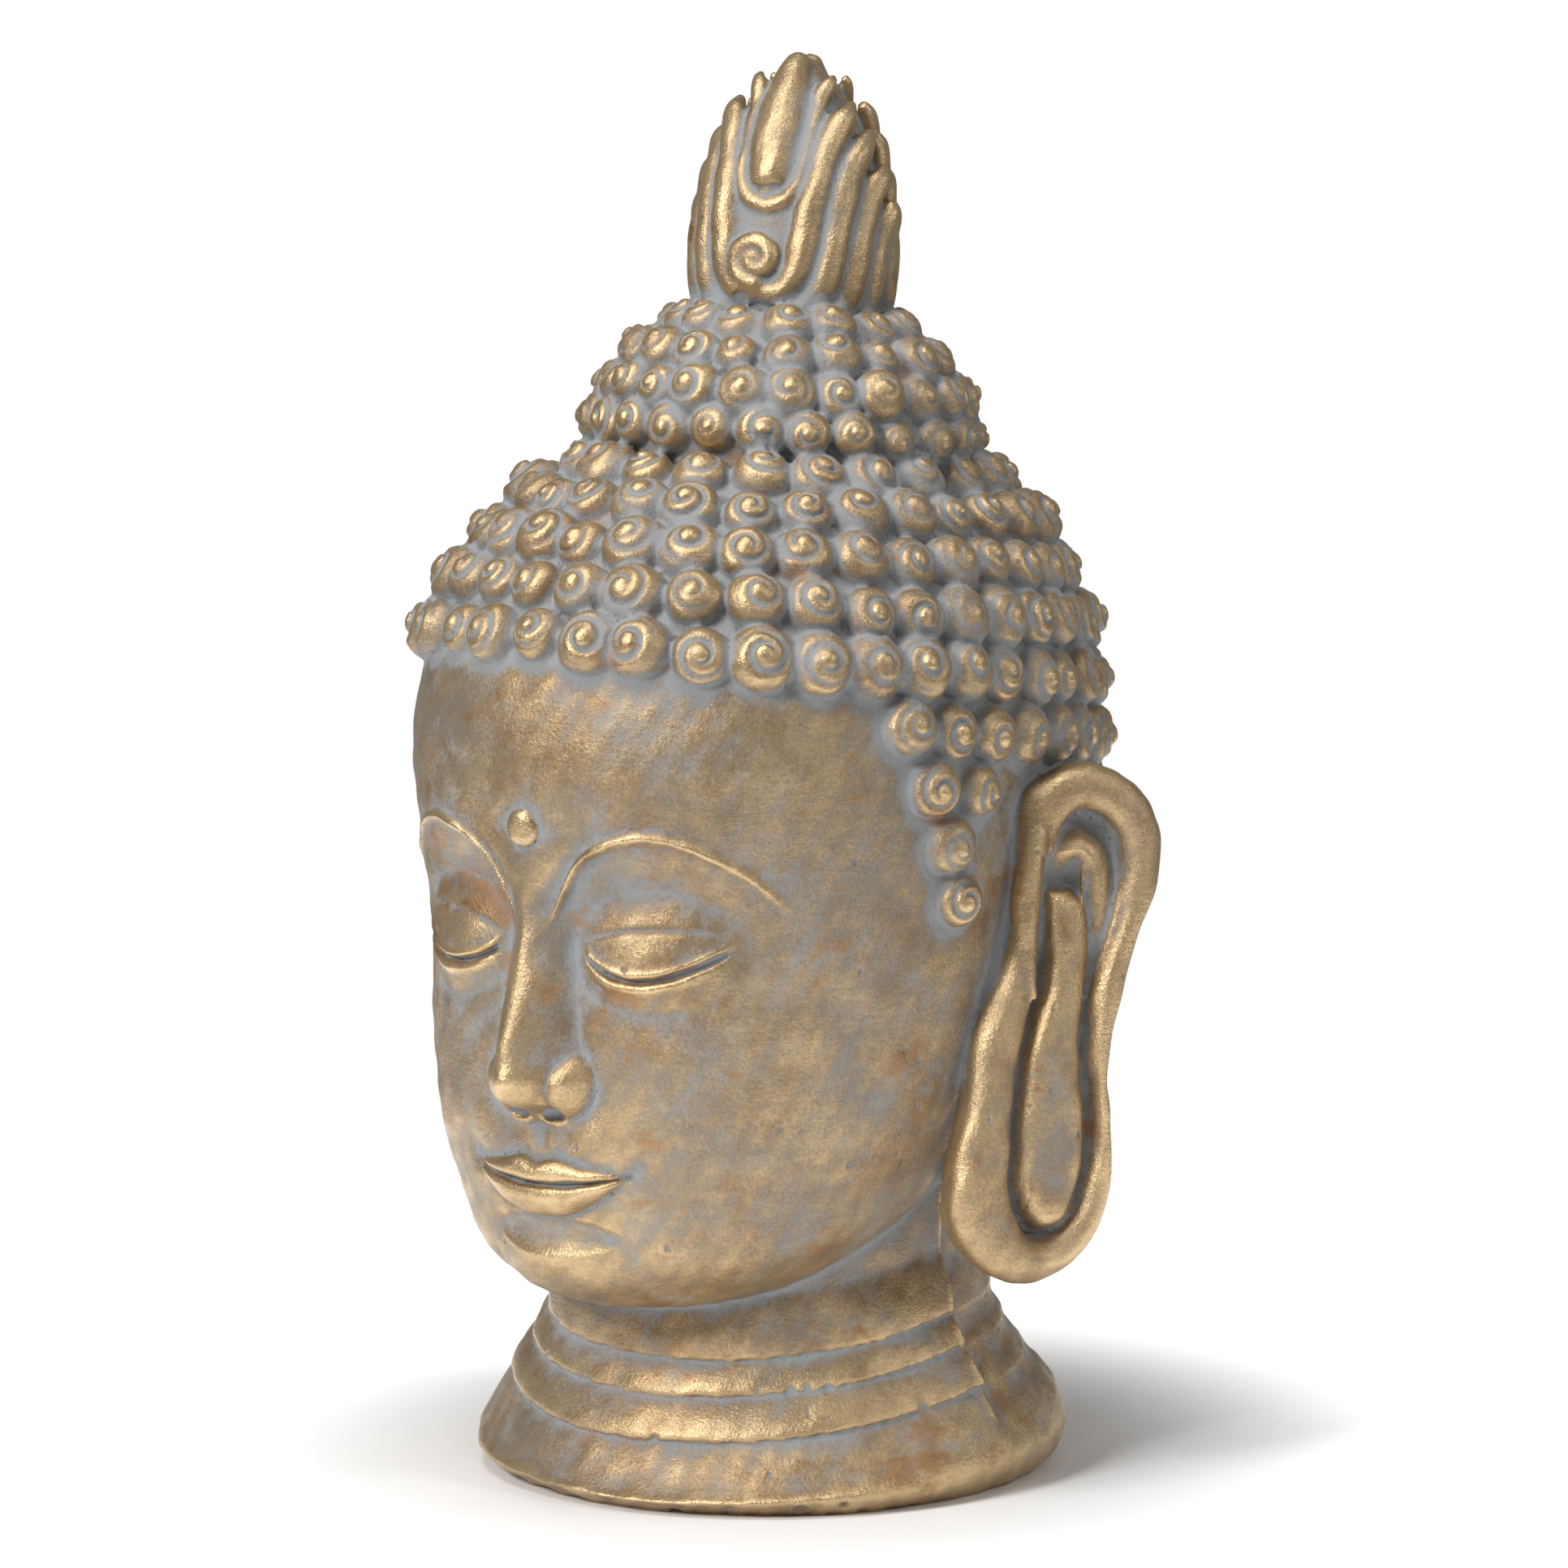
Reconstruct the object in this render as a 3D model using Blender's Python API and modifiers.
"""Resin buddha head on a stepped neck, cast as one piece.

Metres, +Z up. The origin is the middle of the flat underside and the face looks along -Y.
The head, hair, ears and flame are modelled as overlapping forms, which are then fused into one casting.
"""

import math

import bmesh
import bpy
import numpy as np
from mathutils import Matrix, Vector

NODE_NAME = "buddha_head"

# The stepped neck, from the underside up
FOOT_RIM_RADIUS = 0.135
FOOT_BULGE_RADIUS = 0.152
FOOT_BULGE_HEIGHT = 0.021
# Height and radius of each of the neck's steps
STEPS = [(0.058, 0.130), (0.077, 0.1185), (0.093, 0.1110)]
STEP_LIP = 0.0036
STEP_LIP_RISE = 0.4
STEP_LIP_ROOT = 0.2
STEP_SHOULDER = 0.010
# Where the foot draws in towards the first step: shares of its bulge's radius and height
FOOT_SHOULDER = (0.95, 1.7)
NECK_RADIUS = 0.106
# Where the neck goes straight inside the head, in thirds of the face above the chin
NECK_STRAIGHT_FROM = 0.35
STEP_DIP_SLOPE = 0.176
STEP_DIP_TURN = math.radians(10)
STEP_DIP_BACK_SHARE = 0.4
NECK_FACETS = 56

# The head, by the classical canon: the face is three equal thirds high and five eyes wide
CHIN_HEIGHT = 0.097
FACE_HEIGHT = 0.336
CROWN_ABOVE_HAIRLINE = 0.110
HEAD_HALF_WIDTH = 0.152
HEAD_HALF_DEPTH = 0.181
SECTION_EXPONENT = 2.15

# How far the parts of the face stand out or go in
NOSE_RISE = 0.0345
NOSE_WING_RISE = 0.0175
NOSE_WING_BLEND = 0.0032
NOSTRIL_DEPTH = 0.007
SOCKET_DEPTH = 0.0100
LID_RISE = 0.0150
LID_EDGE_RISE = 0.0022
SLIT_DEPTH = 0.0036
BROW_RISE = 0.0036
UPPER_LIP_RISE = 0.0075
LOWER_LIP_RISE = 0.0090
LIP_SEAM_DEPTH = 0.0040
LIP_CORNER_DEPTH = 0.0045
MUZZLE_RISE = 0.0075
NOSE_TO_LIP_GROOVE_DEPTH = 0.0022
CHEEK_RISE = 0.0065
CHIN_RISE = 0.0105
CHIN_HOLLOW_DEPTH = 0.0042

# The hair: rows of snail curls
CURL_RADIUS = 0.0148
CURL_STAND_OUT = 0.0138
CURL_PITCH = 0.0290
ROW_PITCH = 0.0285
ROWS_ABOVE_HAIRLINE = 8
ROWS_BELOW_HAIRLINE = 10
ROW_DROP_TO_BACK = 0.048
# In curl radii: how far the first row stands above the hairline, and the room left to the bun and the ear
FIRST_ROW_LIFT = 0.7
BUN_CLEARANCE = 0.75
EAR_CLEARANCE = 0.2
NAPE_ABOVE_CHIN = 0.068
SIDEBURN_ABOVE_CHIN = 0.186

# The bun on the crown, tilted back together with the flame that stands on it
BUN_RADIUS = 0.093
BUN_RISE = 0.069
BUN_SINK_IN_CROWN = 0.015
BUN_SET_BACK = 0.012
BUN_TILT = math.radians(5)
BUN_CURL_RADIUS = 0.0130
BUN_ROW_PITCH = 0.0198
BUN_ROW_COUNT = 4
BUN_FIRST_LIFT = math.radians(4)
# The band that fills the crease between the bun and the crown, behind the curls
BUN_FILLET_RADIUS = 0.012

# The flame
FLAME_SINK_IN_BUN = 0.005
FLAME_HEIGHT = 0.130
FLAME_RADIUS = 0.0460
FLAME_TURN = math.radians(17)
LOCK_RADIUS = 0.0080
LOCK_TIP_FLARE = 0.0045
VOLUTE_TURNS = 1.4
VOLUTE_REACH = (0.0012, 0.0118)
VOLUTE_TUBE = (0.0038, 0.0048)
# In lock radii: how far a lock's middle and a tongue's top stand off the core
LOCK_STAND_OFF = 0.1
TONGUE_STAND_OFF = 0.9
# Share of the flame's height that its core goes down into the bun
FLAME_ROOT_SHARE = 0.25
COLLAR_RADIUS = 0.060
COLLAR_THICKNESS = 0.011
COLLAR_SINK = 0.3

# The ears
EAR_TOP_BELOW_HAIRLINE = 0.060
EAR_HEIGHT = 0.261
EAR_WIDTH = 0.080
EAR_FRONT_X = 0.1525
EAR_LOBE_Y = -0.044
EAR_BAND_HEIGHT = 0.0100
EAR_HOLLOW_DEPTH = 0.0075
EAR_TONGUE_RISE = 0.0125
EAR_TONGUE_ROUNDING = 0.0036
EAR_FOLD_RISE = 0.0085
EAR_FOLD_WIDTH = 0.0055
EAR_HOLLOW_SLOPE = 0.0045
EAR_PLATE_THICKNESS = 0.012
EAR_ROOT_RADIUS = 0.014
EAR_FLARE_TOP = math.radians(35)
EAR_FLARE_LOBE = math.radians(20)

# The forehead mark
MARK_IN_THIRDS = 2.27
MARK_RADIUS = 0.0095
MARK_STAND_OUT = 0.0060

# How finely the forms are fused, and how many facets the casting keeps
FUSE_CELL = 0.0026
SMOOTHING_ROUNDS = 3
FACET_COUNT = 8200

TWIN = (-1.0, 1.0)
FACE_THIRD = FACE_HEIGHT / 3
HAIRLINE_HEIGHT = CHIN_HEIGHT + FACE_HEIGHT
CROWN_HEIGHT = HAIRLINE_HEIGHT + CROWN_ABOVE_HAIRLINE
HEAD_MIDDLE = (CHIN_HEIGHT + CROWN_HEIGHT) / 2
HEAD_HALF_HEIGHT = (CROWN_HEIGHT - CHIN_HEIGHT) / 2
EYE_WIDTH = HEAD_HALF_WIDTH * 2 / 5
MARK_HEIGHT = CHIN_HEIGHT + FACE_THIRD * MARK_IN_THIRDS
NAPE_HEIGHT = CHIN_HEIGHT + NAPE_ABOVE_CHIN
SIDEBURN_END_HEIGHT = CHIN_HEIGHT + SIDEBURN_ABOVE_CHIN
EAR_TOP_HEIGHT = HAIRLINE_HEIGHT - EAR_TOP_BELOW_HAIRLINE
BUN_MIDDLE_HEIGHT = CROWN_HEIGHT - BUN_SINK_IN_CROWN
FLAME_BASE_HEIGHT = BUN_MIDDLE_HEIGHT + BUN_RISE - FLAME_SINK_IN_BUN

# The head's section from chin (-1) to crown (1): shares of its half width and half depth, and its set-forward
WIDTH_KEYS = [
    (-1, 1.50), (-0.9, 1.33), (-0.76, 1.18), (-0.54, 1.07),
    (-0.13, 1.0), (0.4, 1.09), (0.74, 1.185), (1, 1.19),
]
DEPTH_KEYS = [(-1, 1.20), (-0.76, 1.0), (-0.5, 0.97), (-0.13, 0.96), (0.4, 1.10), (0.74, 1.195), (1, 1.20)]
FORWARD_KEYS = [
    (-1, 0.50), (-0.9, 0.43), (-0.76, 0.32), (-0.5, 0.165), (-0.13, 0.080), (0.4, 0.080), (1, -0.05),
]

# The hairline on one side: degrees round from the face, and shares of the face's height above the chin
HAIRLINE_KEYS = [
    (0, 1.025), (40, 1.025), (54, 1.01), (63, 0.97), (72, 0.90), (79, 0.74), (83, 0.57), (84, 0.52),
]
EAR_HAIR_GAP = (math.radians(87), math.radians(106))

# The nose: thirds above its base, with shares of its rise, and with its half width in thirds
NOSE_RISE_KEYS = [
    (-0.08, 0.0), (0.0, 0.34), (0.05, 0.78), (0.12, 1.0), (0.26, 0.93),
    (0.6, 0.52), (0.85, 0.30), (1.02, 0.17), (1.25, 0.0),
]
NOSE_WIDTH_KEYS = [(-0.1, 0.20), (0.12, 0.25), (0.3, 0.225), (0.6, 0.20), (0.9, 0.19), (1.25, 0.30)]
# The brow: half eye widths out from the eye's middle, and thirds above the nose's base
BROW_KEYS = [
    (-1.66, 0.84), (-1.2, 1.07), (-0.55, 1.205), (0.2, 1.255),
    (1.0, 1.185), (1.7, 1.0), (1.95, 0.88),
]

# Locks of a quarter of the flame: degrees from its front, shares of its height and the lock's radius
FLAME_LOCKS = [
    [
        (0, 0.395, 0.9), (11, 0.43, 0.92), (18, 0.54, 0.9), (23, 0.68, 0.9),
        (33, 0.80, 0.9), (48, 0.868, 0.8), (58, 0.875, 0.6),
    ],
    [
        (8, 0.07, 0.9), (14, 0.19, 0.95), (17, 0.34, 1.0), (25, 0.51, 1.0),
        (34, 0.65, 1.0), (50, 0.745, 0.9), (66, 0.76, 0.65),
    ],
    [
        (29, 0.045, 1.05), (33, 0.21, 1.1), (38, 0.42, 1.12),
        (48, 0.56, 1.05), (62, 0.64, 0.95), (80, 0.655, 0.7),
    ],
    [(51, 0.035, 1.1), (55, 0.21, 1.12), (59, 0.38, 1.12), (68, 0.485, 1.0), (84, 0.525, 0.75)],
    [(73, 0.03, 1.05), (76, 0.18, 1.1), (80, 0.32, 1.05), (90, 0.405, 0.8)],
]
FLAME_CORE_KEYS = [
    (0, 0.96), (0.12, 1.03), (0.35, 1.00), (0.5, 0.92), (0.62, 0.79),
    (0.74, 0.65), (0.85, 0.47), (0.93, 0.29), (1, 0.05),
]
TONGUE_KEYS = [(0.475, 0.7), (0.53, 1.25), (0.62, 1.55), (0.74, 1.60), (0.86, 1.45), (0.96, 0.9)]
VOLUTE_PLACE = (math.radians(-2), 0.205)

# The left ear seen from its side: shares of its width, counted back from the front edge, and of its height
EAR_OUTLINE = [
    (0.56, 1.0), (0.86, 0.945), (1.0, 0.86), (0.99, 0.76), (0.92, 0.665), (0.89, 0.575), (0.89, 0.48),
    (0.93, 0.39), (1.03, 0.30), (1.11, 0.20), (1.09, 0.115), (0.90, 0.04), (0.56, 0.0), (0.27, 0.02),
    (0.075, 0.075), (-0.05, 0.15),
    (-0.05, 0.26), (-0.03, 0.37), (-0.10, 0.50), (-0.06, 0.66), (-0.02, 0.82), (0.02, 0.92), (0.22, 0.975),
]
EAR_HOLLOW = [
    (0.30, 0.555), (0.215, 0.645), (0.19, 0.74), (0.25, 0.83), (0.37, 0.895), (0.49, 0.91), (0.65, 0.885),
    (0.725, 0.83), (0.725, 0.74), (0.71, 0.66), (0.72, 0.585), (0.75, 0.51), (0.81, 0.43), (0.88, 0.355),
    (0.94, 0.275), (0.955, 0.20), (0.87, 0.14), (0.70, 0.105), (0.52, 0.125), (0.41, 0.185), (0.38, 0.275),
    (0.35, 0.355), (0.34, 0.43), (0.325, 0.51),
]
EAR_FOLD = [
    (0.33, 0.832), (0.46, 0.835), (0.58, 0.80), (0.645, 0.74), (0.655, 0.68), (0.63, 0.62), (0.60, 0.56),
]
EAR_TONGUE = [
    (0.275, 0.755), (0.40, 0.752), (0.50, 0.725), (0.545, 0.68), (0.55, 0.62), (0.60, 0.51), (0.64, 0.445),
    (0.745, 0.35), (0.815, 0.25), (0.80, 0.165), (0.70, 0.115), (0.55, 0.125), (0.44, 0.19), (0.405, 0.27),
    (0.385, 0.365), (0.36, 0.44), (0.345, 0.51), (0.30, 0.60), (0.235, 0.66), (0.225, 0.71),
]
# Where the fold fades out downwards
EAR_FOLD_FADE = (0.54, 0.62)
# The sheet grows from this spine: its place across, and the heights it runs between
EAR_SPINE = (0.50, 0.12, 0.86)
# The root that joins the ear to the head: place across, height, and share of the root's radius
EAR_ROOT_KEYS = [(0.12, 0.90, 0.8), (0.14, 0.7, 1.2), (0.10, 0.5, 1.0), (0.05, 0.34, 0.7)]
EAR_ROOT_SINK = 0.8
LOOP_SAMPLES = 96


def clear_scene():
    """Remove everything the new file starts with."""
    for old in list(bpy.data.objects):
        bpy.data.objects.remove(old, do_unlink=True)


def move_to(made, collection):
    """Take an object out of the collections it is in and put it in this one."""
    for holder in list(made.users_collection):
        holder.objects.unlink(made)
    collection.objects.link(made)


def smooth_step(low, high, value):
    """0 below low, 1 above high, and a smooth rise between."""
    share = np.clip((np.asarray(value, float) - low) / (high - low), 0, 1)
    return share * share * (3 - 2 * share)


def smooth_keys(keys, value):
    """A Catmull-Rom curve through (place, amount) keys, read at value."""
    places = np.array([k[0] for k in keys], float)
    amounts = np.array([k[1] for k in keys], float)
    slopes = np.gradient(amounts, places)
    value = np.clip(value, places[0], places[-1])
    left = np.clip(np.searchsorted(places, value) - 1, 0, len(places) - 2)
    span = places[left + 1] - places[left]
    t = (value - places[left]) / span
    return (
        (1 + 2 * t) * (1 - t) ** 2 * amounts[left]
        + t * (1 - t) ** 2 * span * slopes[left]
        + t * t * (3 - 2 * t) * amounts[left + 1]
        + t * t * (t - 1) * span * slopes[left + 1]
    )


def mound(across, up, half_width, half_height, power):
    """A soft round swelling of height 1 that ends at its ellipse's edge."""
    return np.clip(1 - (across / half_width) ** 2 - (up / half_height) ** 2, 0, 1) ** power


def ridge(distance, half_width):
    """A rounded ridge of height 1 along a line."""
    return np.exp(-((distance / half_width) ** 2))


def grid_object(name, points, collection):
    """Closed mesh from rings of points: the rings are joined side by side and each end is capped."""
    rings, around = points.shape[:2]
    faces = []
    for ring in range(rings - 1):
        for step in range(around):
            after = (step + 1) % around
            low, high = ring * around, (ring + 1) * around
            faces.append((low + step, low + after, high + after, high + step))
    faces.append(tuple(reversed(range(around))))
    faces.append(tuple(range((rings - 1) * around, rings * around)))
    mesh = bpy.data.meshes.new(name)
    mesh.from_pydata(points.reshape(-1, 3).tolist(), [], faces)
    mesh.update()
    made = bpy.data.objects.new(name, mesh)
    collection.objects.link(made)
    return made


def tube_object(name, path, radii, collection):
    """A round bar of changing radius along a path, as a bevelled curve with filled ends."""
    data = bpy.data.curves.new(name, "CURVE")
    data.dimensions = "3D"
    data.bevel_depth = 1.0
    data.bevel_resolution = 3
    data.use_fill_caps = True
    spline = data.splines.new("POLY")
    spline.points.add(len(path) - 1)
    for point, place, radius in zip(spline.points, path, radii):
        point.co = (*place, 1)
        point.radius = radius
    made = bpy.data.objects.new(name, data)
    collection.objects.link(made)
    return made


def flowing(keys, samples):
    """Rows of numbers read from a smooth curve through the rows in keys."""
    keys = np.array(keys, float)
    places = np.arange(len(keys))
    wanted = np.linspace(0, len(keys) - 1, samples)
    columns = [smooth_keys(list(zip(places, column)), wanted) for column in keys.T]
    return np.column_stack(columns)


def neck_profile():
    """Radius and height pairs of the turned neck, from the underside to inside the head."""
    outline = [(0, 0), (FOOT_RIM_RADIUS, 0)]
    for share in (0.4, 1.0):
        swell = math.sin(share * math.pi / 2)
        radius = FOOT_RIM_RADIUS + (FOOT_BULGE_RADIUS - FOOT_RIM_RADIUS) * swell
        outline.append((radius, FOOT_BULGE_HEIGHT * share))
    outline.append((FOOT_BULGE_RADIUS * FOOT_SHOULDER[0], FOOT_BULGE_HEIGHT * FOOT_SHOULDER[1]))
    for height, radius in STEPS:
        outline.append((radius, height))
        outline.append((radius + STEP_LIP, height + STEP_LIP * STEP_LIP_RISE))
        outline.append((radius + STEP_LIP * STEP_LIP_ROOT, height + STEP_SHOULDER))
    outline.append((NECK_RADIUS, CHIN_HEIGHT + FACE_THIRD * NECK_STRAIGHT_FROM))
    outline.append((NECK_RADIUS, CHIN_HEIGHT + FACE_THIRD))
    outline.append((0, CHIN_HEIGHT + FACE_THIRD))
    return outline


def step_dip(x, y):
    """How far the steps sag at a place: fully towards the front, and less rise at the back."""
    ahead = x * math.sin(STEP_DIP_TURN) - y * math.cos(STEP_DIP_TURN)
    return STEP_DIP_SLOPE * (max(ahead, 0) + STEP_DIP_BACK_SHARE * min(ahead, 0))


def make_neck(collection):
    """The turned, stepped neck, whose steps sag towards the front."""
    outline = neck_profile()
    profile = bpy.data.meshes.new("neck_profile")
    profile.from_pydata([(r, 0, z) for r, z in outline], [(i, i + 1) for i in range(len(outline) - 1)], [])
    turned = bpy.data.objects.new("neck", profile)
    collection.objects.link(turned)
    screw = turned.modifiers.new("turn", "SCREW")
    screw.steps = screw.render_steps = NECK_FACETS
    screw.use_merge_vertices = True
    screw.merge_threshold = 1e-5
    solid = as_mesh_object(turned, collection)
    for vertex in solid.data.vertices:
        rise = float(smooth_step(0, FOOT_BULGE_HEIGHT * 2, vertex.co.z))
        vertex.co.z -= step_dip(vertex.co.x, vertex.co.y) * rise
    return solid


def as_mesh_object(source, collection):
    """Replace an object by the mesh it evaluates to, with its ends welded."""
    graph = bpy.context.evaluated_depsgraph_get()
    graph.update()
    mesh = bpy.data.meshes.new_from_object(source.evaluated_get(graph))
    mesh.transform(source.matrix_world)
    work = bmesh.new()
    work.from_mesh(mesh)
    bmesh.ops.remove_doubles(work, verts=work.verts, dist=1e-6)
    bmesh.ops.recalc_face_normals(work, faces=work.faces)
    work.to_mesh(mesh)
    work.free()
    name = source.name
    bpy.data.objects.remove(source, do_unlink=True)
    made = bpy.data.objects.new(name, mesh)
    collection.objects.link(made)
    return made


def head_point(height, turn):
    """A point on the bare head at a height, turned round from the face (0) towards its left ear."""
    share = np.clip((height - HEAD_MIDDLE) / HEAD_HALF_HEIGHT, -1, 1)
    level = np.sqrt(1 - share * share)
    half_width = HEAD_HALF_WIDTH * level * smooth_keys(WIDTH_KEYS, share)
    half_depth = HEAD_HALF_DEPTH * level * smooth_keys(DEPTH_KEYS, share)
    middle = -HEAD_HALF_DEPTH * smooth_keys(FORWARD_KEYS, share)
    bend = 2 / SECTION_EXPONENT
    side, front = np.sin(turn), np.cos(turn)
    x = half_width * np.sign(side) * np.abs(side) ** bend
    y = middle - half_depth * np.sign(front) * np.abs(front) ** bend
    return np.stack(np.broadcast_arrays(x, y, height), axis=-1)


def head_normal(height, turn):
    """Outward direction of the bare head there."""
    small = 0.002
    up = head_point(height + small, turn) - head_point(height - small, turn)
    round_it = head_point(height, turn + small) - head_point(height, turn - small)
    normal = np.cross(round_it, up)
    return normal / np.linalg.norm(normal, axis=-1, keepdims=True)


def soft_max(first, second, blend):
    """The larger of two heights, with a rounded join as wide as the blend."""
    join = blend * math.log(2) * np.exp(-np.abs(first - second) / blend)
    return blend * np.logaddexp(first / blend, second / blend) - join


def nose_relief(x, up):
    """The straight ridge, the tip and the wings. up is measured in thirds above the nose's base."""
    across = np.abs(x) / FACE_THIRD
    eye = EYE_WIDTH / FACE_THIRD
    line = np.clip(1 - (across / smooth_keys(NOSE_WIDTH_KEYS, up)) ** 2, 0, 1) ** 1.7
    bridge = NOSE_RISE * smooth_keys(NOSE_RISE_KEYS, up) * line
    wing = NOSE_WING_RISE * mound(across - 0.28 * eye, up - 0.125, 0.145, 0.165, 1.0)
    nostril = NOSTRIL_DEPTH * mound(across - 0.17 * eye, up + 0.005, 0.075, 0.05, 1.0)
    return soft_max(bridge, wing, NOSE_WING_BLEND) - nostril


def eye_relief(x, up):
    """Brows, sockets and closed lids. up is in thirds above the nose's base."""
    out = (np.abs(x) - EYE_WIDTH) / EYE_WIDTH * 2
    socket = -SOCKET_DEPTH * mound(out + 0.20, up - 0.84, 1.95, 0.40, 1.5)
    lid = LID_RISE * mound(out, up - 0.725, 1.36, 0.285, 1.25)
    slit_line = 0.70 - 0.085 * (1 - out * out) + 0.015 * out
    span = smooth_step(1.18, 0.98, np.abs(out - 0.04))
    slit = -SLIT_DEPTH * ridge(up - slit_line, 0.014) * span
    edge = LID_EDGE_RISE * ridge(up - slit_line - 0.030, 0.020) * span
    ends = smooth_step(-1.75, -1.4, out) * smooth_step(1.98, 1.6, out)
    brow = BROW_RISE * ridge(up - smooth_keys(BROW_KEYS, out), 0.026) * ends
    return socket + lid + slit + edge + brow


def mouth_relief(x, up):
    """Muzzle, lips and the groove under the nose. up is in thirds above the chin."""
    across = np.abs(x) / (0.76 * EYE_WIDTH)
    seam = 0.665 + 0.050 * np.minimum(across, 1.2) ** 2
    reach = np.clip(across, 0, 1)
    bow = 0.014 * ridge(across - 0.26, 0.16) - 0.020 * ridge(across, 0.12)
    upper = np.clip((up - seam) / (0.118 * (1 - reach**1.7) + bow * (1 - reach) + 1e-3), 0, 1)
    lower = np.clip((seam - up) / (0.158 * (1 - reach**2.2) + 1e-3), 0, 1)
    body = np.clip(1 - reach**2.6, 0, 1) ** 0.6
    upper_round = np.sqrt(np.clip(1 - ((upper - 0.38) / 0.62) ** 2, 0, 1)) * (upper > 0)
    lower_round = np.sqrt(np.clip(1 - ((lower - 0.42) / 0.58) ** 2, 0, 1)) * (lower > 0)
    lips = (UPPER_LIP_RISE * upper_round + LOWER_LIP_RISE * lower_round) * body
    crease = -LIP_SEAM_DEPTH * ridge(up - seam, 0.013) * smooth_step(1.10, 0.95, across)
    corner = -LIP_CORNER_DEPTH * ridge(np.hypot((across - 1.08) * 0.42, up - seam - 0.01), 0.075)
    muzzle = MUZZLE_RISE * mound(x / EYE_WIDTH, up - 0.70, 1.12, 0.42, 1.5)
    groove_span = smooth_step(0.79, 0.85, up) * smooth_step(1.03, 0.97, up)
    groove = -NOSE_TO_LIP_GROOVE_DEPTH * ridge(x / EYE_WIDTH, 0.085) * groove_span
    return muzzle + lips + crease + corner + groove


def cheek_relief(x, up):
    """Cheeks, chin and the hollow above the chin. up is in thirds above the chin."""
    across = np.abs(x) / EYE_WIDTH
    cheek = CHEEK_RISE * mound(across - 1.30, up - 1.05, 1.15, 0.67, 1.5)
    chin = CHIN_RISE * mound(across, up - 0.22, 0.80, 0.30, 1.3)
    hollow = -CHIN_HOLLOW_DEPTH * mound(across, up - 0.425, 0.66, 0.095, 1.0)
    return cheek + chin + hollow


def face_relief(points):
    """How far the face stands out from the bare head at each point."""
    x, height = points[..., 0], points[..., 2]
    above_chin = (height - CHIN_HEIGHT) / FACE_THIRD
    above_nose = above_chin - 1
    relief = nose_relief(x, above_nose) + eye_relief(x, above_nose)
    relief = relief + mouth_relief(x, above_chin) + cheek_relief(x, above_chin)
    return relief * smooth_step(0.05, 0.45, -points[..., 1] / HEAD_HALF_DEPTH)


def make_head(collection):
    """The bare head with its face."""
    tilt = np.linspace(-math.pi / 2 + 0.02, math.pi / 2 - 0.02, 220)[:, None]
    turn = np.linspace(0, 2 * math.pi, 400, endpoint=False)[None, :]
    height = HEAD_MIDDLE + HEAD_HALF_HEIGHT * np.sin(tilt)
    points = head_point(height + 0 * turn, turn + 0 * height)
    points[..., 1] -= face_relief(points)
    return grid_object("head", points, collection)


def make_forehead_mark(collection):
    """The round mark above the brows."""
    front = head_point(np.float64(MARK_HEIGHT), np.float64(0))
    bpy.ops.mesh.primitive_uv_sphere_add(segments=12, ring_count=8, radius=1, location=tuple(front))
    mark = bpy.context.active_object
    mark.name = "forehead_mark"
    mark.scale = (MARK_RADIUS, MARK_STAND_OUT, MARK_RADIUS)
    move_to(mark, collection)
    return mark


def hairline_turn(height):
    """How far round from the face the hair begins at a height, or 0 above the forehead."""
    share = (height - CHIN_HEIGHT) / FACE_HEIGHT
    turns, shares = np.array(HAIRLINE_KEYS, float).T
    if share >= shares[0]:
        return 0.0
    return math.radians(float(np.interp(-share, -shares, turns)))


def hair_line(row, turns):
    """Heights of one row of curls round the head, counted up from the hairline; nan past the crown."""
    heights = np.linspace(NAPE_HEIGHT, CROWN_HEIGHT - 0.0005, 500)
    found = []
    for turn in turns:
        line = head_point(heights, turn)
        walked = np.concatenate([[0], np.cumsum(np.linalg.norm(np.diff(line, axis=0), axis=1))])
        drop = ROW_DROP_TO_BACK * (1 - math.cos(turn)) / 2
        first = HAIRLINE_HEIGHT + CURL_RADIUS * FIRST_ROW_LIFT - drop
        wanted = np.interp(first, heights, walked) + row * ROW_PITCH
        found.append(np.interp(wanted, walked, heights, left=np.nan, right=np.nan))
    return np.array(found)


def bears_curl(place, height, turn):
    """Whether a place on the head has a curl: in the hair, off the ear and outside the bun."""
    if turn < hairline_turn(height) - 1e-6:
        return False
    local = bun_frame().inverted() @ Vector(place)
    spread = Vector((local.x / BUN_RADIUS, local.y / BUN_RADIUS, local.z / BUN_RISE)).length
    return spread > 1 + BUN_CLEARANCE * CURL_RADIUS / BUN_RADIUS


def half_row(row, turns):
    """Heights and turns of the curls on one side of a row, from its front end round to the back."""
    heights = hair_line(row, turns)
    line = head_point(heights, turns)
    known = [i for i in range(len(turns)) if not math.isnan(heights[i])]
    inside = [i for i in known if bears_curl(line[i], heights[i], turns[i])]
    if len(inside) < 3:
        return []
    line, heights, turns = line[inside], heights[inside], turns[inside]
    lengths = np.concatenate([[0], np.cumsum(np.linalg.norm(np.diff(line, axis=0), axis=1))])
    whole = row % 2 == 0
    across_front = turns[0] < 1e-6
    count = max(1, round(lengths[-1] / CURL_PITCH))
    if across_front:
        places = (np.arange(count + 1) if whole else np.arange(count) + 0.5) * lengths[-1] / count
    else:
        places = np.arange(count + 1 if whole else count) * lengths[-1] / (count if whole else count - 0.5)
    return [(np.interp(p, lengths, heights), np.interp(p, lengths, turns)) for p in places]


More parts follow.
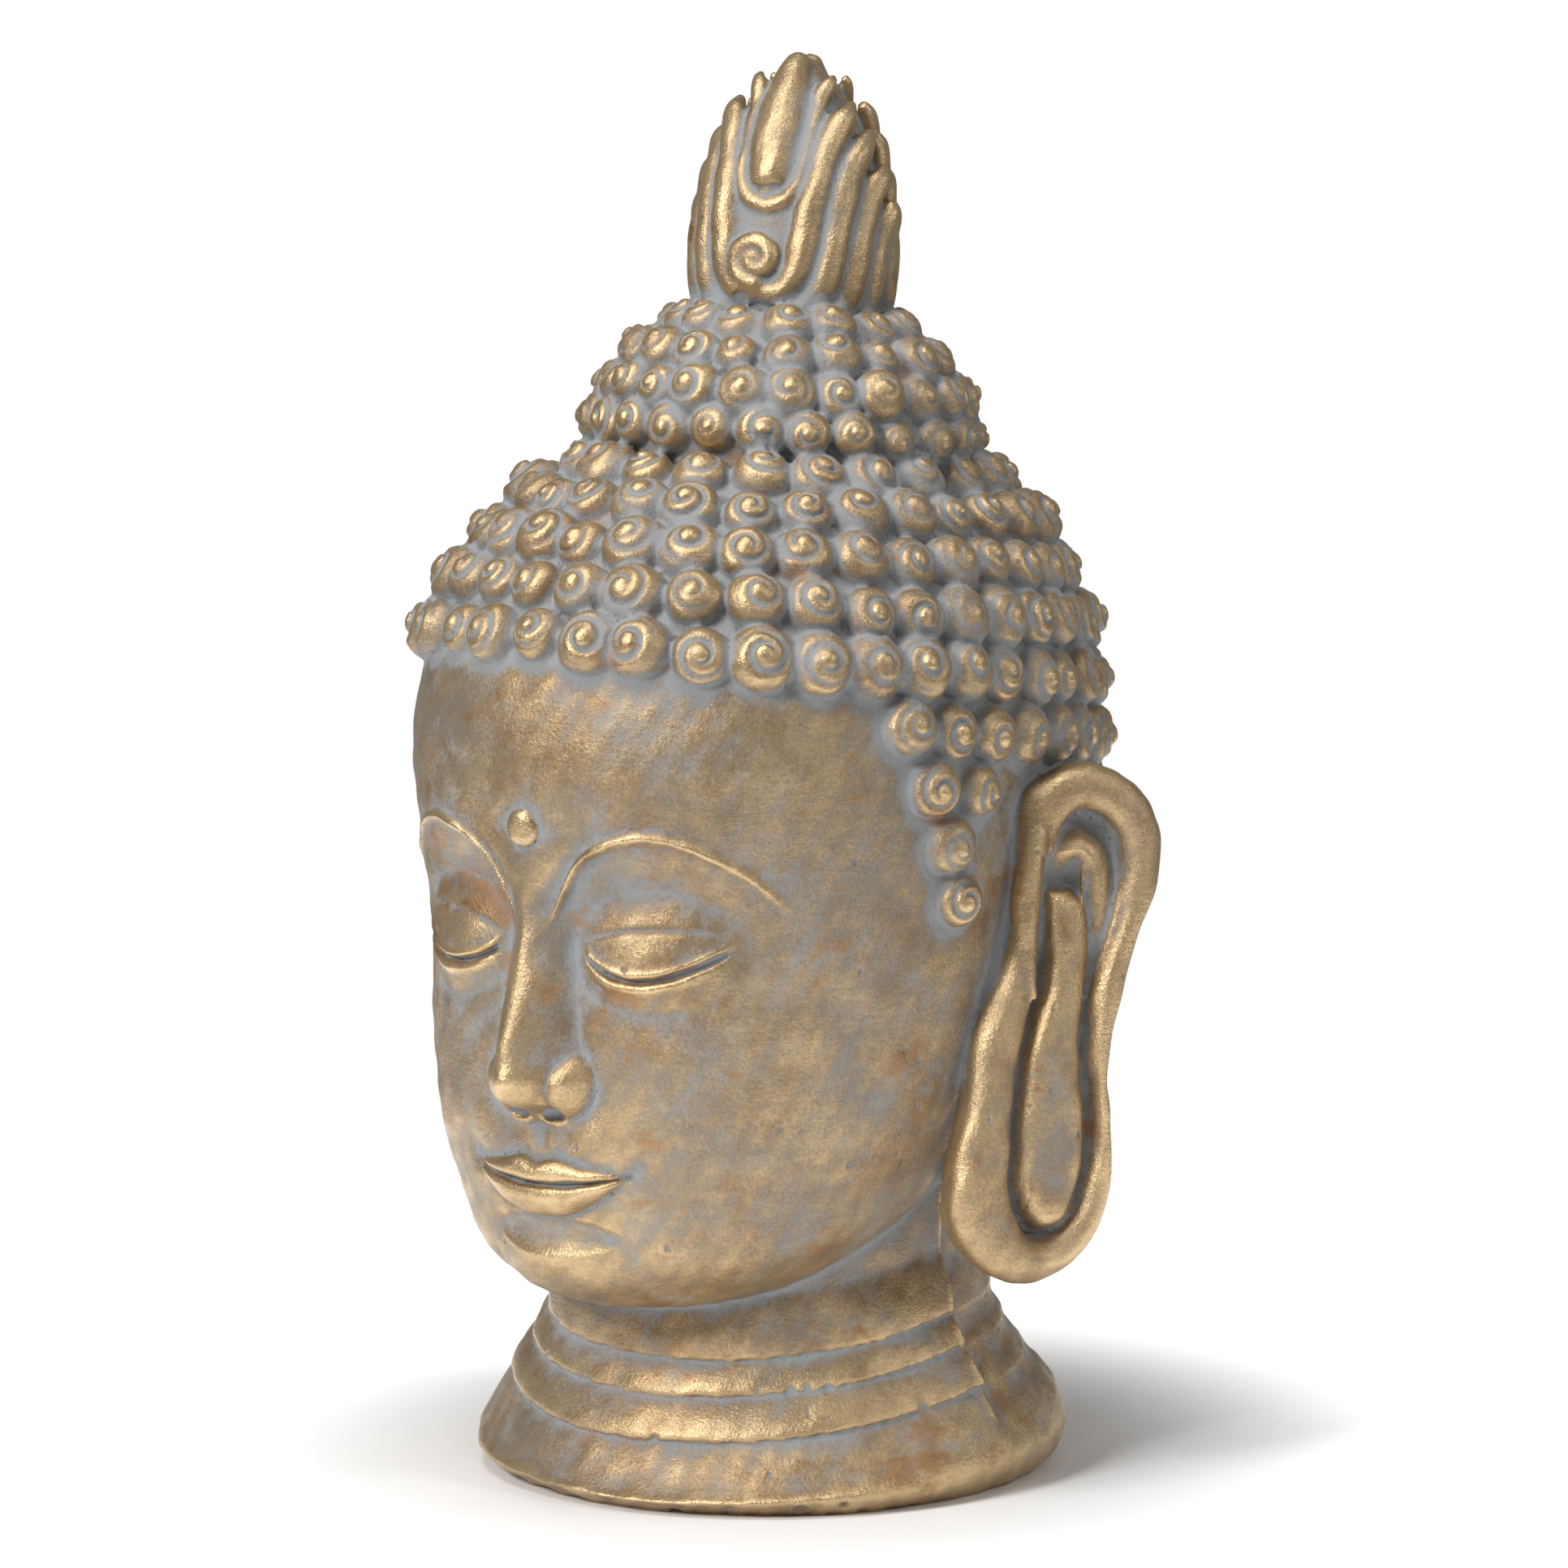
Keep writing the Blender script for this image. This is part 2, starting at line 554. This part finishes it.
def head_curls():
    """Place, outward direction and radius of every curl on the head itself."""
    seats = []
    turns = np.linspace(0, math.pi, 241)
    for row in range(-ROWS_BELOW_HAIRLINE, ROWS_ABOVE_HAIRLINE + 1):
        for height, turn in half_row(row, turns):
            front_edge = 0 if height < SIDEBURN_END_HEIGHT else EAR_HAIR_GAP[0]
            at_ear = front_edge < turn < EAR_HAIR_GAP[1]
            if at_ear and height < EAR_TOP_HEIGHT - CURL_RADIUS * EAR_CLEARANCE:
                continue
            on_middle = turn < 1e-3 or turn > math.pi - 1e-3
            for side in TWIN[1:] if on_middle else TWIN:
                place = head_point(height, side * turn)
                seats.append((place, head_normal(height, side * turn), CURL_RADIUS))
    return seats


def bun_curls():
    """Place, outward direction and radius of every curl on the bun."""
    seats = []
    frame = bun_frame()
    for row in range(BUN_ROW_COUNT):
        lift = BUN_FIRST_LIFT + row * BUN_ROW_PITCH / BUN_RISE
        ring, up = BUN_RADIUS * math.cos(lift), BUN_RISE * math.sin(lift)
        count = round(2 * math.pi * ring / (CURL_PITCH * BUN_CURL_RADIUS / CURL_RADIUS))
        for step in range(count):
            turn = 2 * math.pi * (step + row % 2 / 2) / count
            place = Vector((ring * math.sin(turn), -ring * math.cos(turn), up))
            out = Vector((place.x / BUN_RADIUS**2, place.y / BUN_RADIUS**2, up / BUN_RISE**2))
            out = (frame.to_3x3() @ out).normalized()
            seats.append((np.array(frame @ place), np.array(out), BUN_CURL_RADIUS))
    return seats


def bun_frame():
    """Where the bun and the flame stand: tilted back about the bun's middle."""
    middle = Matrix.Translation((0, BUN_SET_BACK, BUN_MIDDLE_HEIGHT))
    return middle @ Matrix.Rotation(-BUN_TILT, 4, "X")


def make_curls(collection):
    """All curls as one mesh of squashed balls, each with its own slight turn."""
    ball = bmesh.new()
    bmesh.ops.create_icosphere(ball, subdivisions=2, radius=1)
    corners = np.array([v.co for v in ball.verts])
    faces = np.array([[v.index for v in f.verts] for f in ball.faces])
    ball.free()
    points, triangles = [], []
    for place, out, radius in head_curls() + bun_curls():
        stand_out = CURL_STAND_OUT * radius / CURL_RADIUS
        turn = Vector(out).to_track_quat("Z", "Y").to_matrix()
        shaped = corners * (radius, radius, stand_out)
        triangles.append(faces + sum(len(p) for p in points))
        points.append(shaped @ np.array(turn).T + place)
    mesh = bpy.data.meshes.new("curls")
    mesh.from_pydata(np.concatenate(points).tolist(), [], np.concatenate(triangles).tolist())
    made = bpy.data.objects.new("curls", mesh)
    collection.objects.link(made)
    return made


def make_bun(collection):
    """The bun under its curls, and the smooth collar below the flame."""
    bpy.ops.mesh.primitive_uv_sphere_add(segments=64, ring_count=32, radius=1)
    bun = bpy.context.active_object
    bun.name = "bun"
    bun.matrix_world = bun_frame() @ Matrix.Diagonal((BUN_RADIUS, BUN_RADIUS, BUN_RISE, 1))
    bpy.ops.mesh.primitive_torus_add(
        major_radius=COLLAR_RADIUS - COLLAR_THICKNESS,
        minor_radius=COLLAR_THICKNESS / 2,
    )
    collar = bpy.context.active_object
    collar.name = "collar"
    rise = FLAME_BASE_HEIGHT - BUN_MIDDLE_HEIGHT
    collar.matrix_world = bun_frame() @ Matrix.Translation((0, 0, rise - COLLAR_THICKNESS * COLLAR_SINK))
    bpy.ops.mesh.primitive_torus_add(
        major_radius=BUN_RADIUS - BUN_FILLET_RADIUS / 2,
        minor_radius=BUN_FILLET_RADIUS,
    )
    fillet = bpy.context.active_object
    fillet.name = "bun_fillet"
    fillet.matrix_world = bun_frame() @ Matrix.Translation((0, 0, -BUN_SINK_IN_CROWN))
    for made in (bun, collar, fillet):
        move_to(made, collection)


def flame_core(share):
    """Radius of the flame's core, by share of its height."""
    return FLAME_RADIUS * smooth_keys(FLAME_CORE_KEYS, share)


def flame_place(turn, share, lift=0.0):
    """A point on the flame, in the bun's frame; lift is how far it stands off the core."""
    radius = flame_core(share) + lift
    angle = turn + FLAME_TURN
    rise = FLAME_BASE_HEIGHT - BUN_MIDDLE_HEIGHT + FLAME_HEIGHT * share
    return np.stack([radius * np.sin(angle), -radius * np.cos(angle), rise], axis=-1)


def flame_locks(collection):
    """The locks that wrap the flame, the same on all four quarters."""
    locks = []
    for keys in FLAME_LOCKS:
        rows = flowing(keys, 32)
        flare = LOCK_TIP_FLARE * smooth_step(0.72, 1, np.linspace(0, 1, len(rows)))
        for side in TWIN:
            for angle in (np.radians(rows[:, 0]), math.pi - np.radians(rows[:, 0])):
                path = flame_place(side * angle, rows[:, 1], LOCK_RADIUS * LOCK_STAND_OFF + flare)
                locks.append(tube_object("lock", path, LOCK_RADIUS * rows[:, 2], collection))
    return locks


def flame_tongues(collection):
    """The smooth tongues in front and behind."""
    rows = flowing(TONGUE_KEYS, 24)
    radii = LOCK_RADIUS * rows[:, 1]
    tongues = []
    for turn in (0, math.pi):
        path = flame_place(0 * radii + turn, rows[:, 0], LOCK_RADIUS * TONGUE_STAND_OFF - radii)
        tongues.append(tube_object("tongue", path, radii, collection))
    return tongues


def flame_volute(collection):
    """The scroll at the flame's foot."""
    sweep = np.linspace(0, 1, 60)
    angle = -math.pi / 2 - 2 * math.pi * VOLUTE_TURNS * (1 - sweep)
    reach = VOLUTE_REACH[0] + (VOLUTE_REACH[1] - VOLUTE_REACH[0]) * sweep
    turn, share = VOLUTE_PLACE
    turns = turn + reach * np.cos(angle) / FLAME_RADIUS
    shares = share + reach * np.sin(angle) / FLAME_HEIGHT
    radii = VOLUTE_TUBE[0] + (VOLUTE_TUBE[1] - VOLUTE_TUBE[0]) * sweep
    return tube_object("volute", flame_place(turns, shares), radii, collection)


def make_flame(collection):
    """The flame: a core, the locks round it, its tongues and the volute at its foot."""
    shares = np.linspace(0, 1, 48)
    around = np.linspace(0, 2 * math.pi, 72, endpoint=False)
    core = flame_place(around[None, :] + 0 * shares[:, None], shares[:, None] + 0 * around[None, :])
    root = core[0] - (0, 0, FLAME_HEIGHT * FLAME_ROOT_SHARE)
    pieces = [
        grid_object("flame_core", core, collection),
        grid_object("flame_root", np.stack([root, core[0] + (0, 0, LOCK_RADIUS)]), collection),
        flame_volute(collection),
    ]
    pieces += flame_locks(collection) + flame_tongues(collection)
    for piece in pieces:
        piece.matrix_world = bun_frame()


def line_distance(across, up, line, closed):
    """Distance on the ear's side view, in metres, to a line given in shares."""
    corners = np.array(line, float)
    if closed:
        corners = np.vstack([corners, corners[:1]])
    corners = corners * (EAR_WIDTH, EAR_HEIGHT)
    x, y = across * EAR_WIDTH, up * EAR_HEIGHT
    nearest = np.full(np.shape(x), np.inf)
    for (x0, y0), (x1, y1) in zip(corners[:-1], corners[1:]):
        length = (x1 - x0) ** 2 + (y1 - y0) ** 2
        along = np.clip(((x - x0) * (x1 - x0) + (y - y0) * (y1 - y0)) / length, 0, 1)
        gap = np.hypot(x - x0 - along * (x1 - x0), y - y0 - along * (y1 - y0))
        nearest = np.minimum(nearest, gap)
    return nearest


def is_inside(across, up, loop):
    """Even-odd test of points against a closed loop, in shares."""
    inside = np.zeros(np.shape(across), bool)
    corners = loop + loop[:1]
    for (x0, y0), (x1, y1) in zip(corners[:-1], corners[1:]):
        crosses = (y0 > up) != (y1 > up)
        where = x0 + (up - y0) * (x1 - x0) / (y1 - y0 if y1 != y0 else 1e-9)
        inside ^= crosses & (across < where)
    return inside


def ear_relief(across, up):
    """How far the ear stands off its plate: a rounded band round a hollow with a tongue and a fold."""
    hollow = flowing_loop(EAR_HOLLOW, LOOP_SAMPLES)
    to_edge = line_distance(across, up, flowing_loop(EAR_OUTLINE, LOOP_SAMPLES), True)
    to_hollow = line_distance(across, up, hollow, True)
    inside = is_inside(across, up, hollow)
    share = to_edge / np.maximum(to_edge + to_hollow, 1e-6)
    band = EAR_BAND_HEIGHT * (4 * share * (1 - share)) ** 0.5
    floor = -EAR_HOLLOW_DEPTH * smooth_step(0, EAR_HOLLOW_SLOPE, to_hollow)
    tongue = flowing_loop(EAR_TONGUE, LOOP_SAMPLES)
    to_tongue = line_distance(across, up, tongue, True) * is_inside(across, up, tongue)
    rise = EAR_TONGUE_RISE * (1 - np.exp(-to_tongue / EAR_TONGUE_ROUNDING))
    fold = EAR_FOLD_RISE * ridge(line_distance(across, up, EAR_FOLD, False), EAR_FOLD_WIDTH)
    fold = fold * smooth_step(*EAR_FOLD_FADE, up)
    return np.where(inside, floor + np.maximum(rise, fold), band)


def flowing_loop(loop, samples):
    """A smooth closed curve through the corners of a loop."""
    padded = loop[-2:] + loop + loop[:3]
    places = np.arange(-2, len(loop) + 3)
    wanted = np.linspace(0, len(loop), samples, endpoint=False)
    columns = [smooth_keys(list(zip(places, column)), wanted) for column in np.array(padded, float).T]
    return [tuple(pair) for pair in np.column_stack(columns)]


def ear_place(across, up, out):
    """From shares of the ear's width and height and a distance off its plate to the left ear in the world."""
    lobe_to_top = smooth_step(0.1, 0.85, up)
    flare = EAR_FLARE_LOBE + (EAR_FLARE_TOP - EAR_FLARE_LOBE) * lobe_to_top
    height = EAR_TOP_HEIGHT - EAR_HEIGHT * (1 - up)
    reach = across * EAR_WIDTH
    x = EAR_FRONT_X + reach * np.sin(flare) + out * np.cos(flare)
    y = EAR_LOBE_Y * (1 - lobe_to_top) + reach * np.cos(flare) - out * np.sin(flare)
    return np.stack(np.broadcast_arrays(x, y, height), axis=-1)


def make_ear(side, collection):
    """One long-lobed ear, as a closed sheet that grows from a spine to the outline and back again behind."""
    outline = np.array(flowing_loop(EAR_OUTLINE, 132))
    spine = np.column_stack([np.full(len(outline), EAR_SPINE[0]), np.clip(outline[:, 1], *EAR_SPINE[1:])])
    rings = []
    for share in np.linspace(0.02, 1, 34):
        flat = spine + share * (outline - spine)
        rings.append(ear_place(flat[:, 0], flat[:, 1], ear_relief(flat[:, 0], flat[:, 1])))
    for share in (0.97, 0.6, 0.1):
        flat = spine + share * (outline - spine)
        rings.append(ear_place(flat[:, 0], flat[:, 1], -EAR_PLATE_THICKNESS))
    ear = grid_object("ear", np.stack(rings), collection)
    root = flowing(EAR_ROOT_KEYS, 20)
    path = ear_place(root[:, 0], root[:, 1], -EAR_PLATE_THICKNESS * EAR_ROOT_SINK)
    stem = tube_object("ear_root", path, EAR_ROOT_RADIUS * root[:, 2], collection)
    if side < 0:
        ear.scale.x = stem.scale.x = -1


def joined_mesh(collection):
    """Every form in the collection as one mesh, in world space."""
    bpy.context.view_layer.update()
    graph = bpy.context.evaluated_depsgraph_get()
    work = bmesh.new()
    for form in list(collection.objects):
        piece = bpy.data.meshes.new_from_object(form.evaluated_get(graph))
        piece.transform(form.matrix_world)
        if form.matrix_world.determinant() < 0:
            piece.flip_normals()
        work.from_mesh(piece)
        bpy.data.meshes.remove(piece)
        bpy.data.objects.remove(form, do_unlink=True)
    bmesh.ops.remove_doubles(work, verts=work.verts, dist=1e-7)
    mesh = bpy.data.meshes.new(NODE_NAME)
    work.to_mesh(mesh)
    work.free()
    return mesh


def facets(obj):
    """How many triangles the object evaluates to."""
    graph = bpy.context.evaluated_depsgraph_get()
    graph.update()
    mesh = obj.evaluated_get(graph).to_mesh()
    mesh.calc_loop_triangles()
    count = len(mesh.loop_triangles)
    obj.evaluated_get(graph).to_mesh_clear()
    return count


def bronze_washed_resin():
    """Grey resin with a worn bronze-gold wash."""
    material = bpy.data.materials.new("bronze_washed_resin")
    material.use_nodes = True
    shader = material.node_tree.nodes["Principled BSDF"]
    shader.inputs["Base Color"].default_value = (0.36, 0.29, 0.20, 1)
    shader.inputs["Metallic"].default_value = 0.45
    shader.inputs["Roughness"].default_value = 0.5
    return material


def main():
    """Model the casting's forms, fuse them and stand them on the turned neck."""
    clear_scene()
    forms = bpy.data.collections.new("forms")
    work = bpy.data.collections.new("resin_buddha_head")
    joined_in = bpy.data.collections.new("joined_in")
    for collection in (forms, work, joined_in):
        bpy.context.scene.collection.children.link(collection)
    make_head(forms)
    make_bun(forms)
    make_curls(forms)
    make_flame(forms)
    for side in TWIN:
        make_ear(side, forms)
    casting = bpy.data.objects.new(NODE_NAME, joined_mesh(forms))
    work.objects.link(casting)
    casting.data.materials.append(bronze_washed_resin())
    fuse = casting.modifiers.new("fuse", "REMESH")
    fuse.mode = "VOXEL"
    fuse.voxel_size = FUSE_CELL
    soften = casting.modifiers.new("soften", "SMOOTH")
    soften.factor = 0.5
    soften.iterations = SMOOTHING_ROUNDS
    thin_out = casting.modifiers.new("thin_out", "DECIMATE")
    thin_out.ratio = FACET_COUNT / facets(casting)
    for added in (make_neck(joined_in), make_forehead_mark(joined_in)):
        added.hide_render = True
        added.display_type = "WIRE"
        join = casting.modifiers.new("join_" + added.name, "BOOLEAN")
        join.operation = "UNION"
        join.solver = "EXACT"
        join.object = added
    bpy.data.collections.remove(forms)


main()
